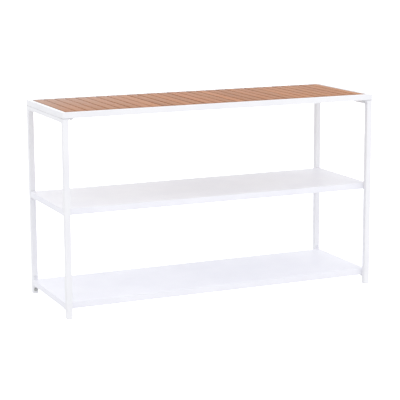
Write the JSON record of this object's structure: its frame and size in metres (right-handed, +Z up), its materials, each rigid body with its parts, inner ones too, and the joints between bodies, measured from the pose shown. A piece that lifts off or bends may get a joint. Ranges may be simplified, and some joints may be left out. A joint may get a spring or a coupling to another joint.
{
  "type": "console table",
  "caption": "Long low console table: white square-tube frame, top of wooden slats running front to back, and two folded sheet shelves.",
  "frame": {"origin": "on the floor, under the middle of the table", "axes": "+X along the length, +Y from the front to the back, +Z up"},
  "size_m": [1.16, 0.4, 0.695],
  "materials": {
    "frame_paint": "satin white powder coat",
    "shelf_paint": "satin white powder coat",
    "slat_wood": "oiled, fine open grain",
    "plated_steel": "zinc plated",
    "glide_plastic": "matt",
    "plug_plastic": "matt"
  },
  "bodies": {
    "root": {"top_rail_front": "frame_paint", "slat_ledge_front": "frame_paint", "top_rail_back": "frame_paint", "slat_ledge_back": "frame_paint", "top_rail_left": "frame_paint", "end_rail_left": "frame_paint", "top_rail_right": "frame_paint", "end_rail_right": "frame_paint", "slat_01": "slat_wood", "slat_02": "slat_wood", "slat_03": "slat_wood", "slat_04": "slat_wood", "slat_05": "slat_wood", "slat_06": "slat_wood", "slat_07": "slat_wood", "slat_08": "slat_wood", "slat_09": "slat_wood", "slat_10": "slat_wood", "slat_11": "slat_wood", "slat_12": "slat_wood", "slat_13": "slat_wood", "slat_14": "slat_wood", "slat_15": "slat_wood", "slat_16": "slat_wood", "slat_17": "slat_wood", "slat_18": "slat_wood", "slat_19": "slat_wood", "slat_20": "slat_wood", "slat_21": "slat_wood", "slat_22": "slat_wood", "slat_23": "slat_wood", "slat_24": "slat_wood", "slat_25": "slat_wood", "slat_26": "slat_wood", "slat_27": "slat_wood", "slat_28": "slat_wood", "slat_29": "slat_wood", "slat_screws": "plated_steel", "leg_front_left": "frame_paint", "glide_front_left": "glide_plastic", "top_tab_front_left": "frame_paint", "leg_front_right": "frame_paint", "glide_front_right": "glide_plastic", "top_tab_front_right": "frame_paint", "leg_back_left": "frame_paint", "glide_back_left": "glide_plastic", "top_tab_back_left": "frame_paint", "leg_back_right": "frame_paint", "glide_back_right": "glide_plastic", "top_tab_back_right": "frame_paint", "tab_screws": "plated_steel", "shelf_middle": "shelf_paint", "stiffener_middle": "shelf_paint", "shelf_bottom": "shelf_paint", "stiffener_bottom": "shelf_paint", "shelf_brackets": "frame_paint", "shelf_bolts": "plated_steel", "bracket_bolts": "plated_steel", "hole_plugs": "plug_plastic"}
  },
  "joints": []
}
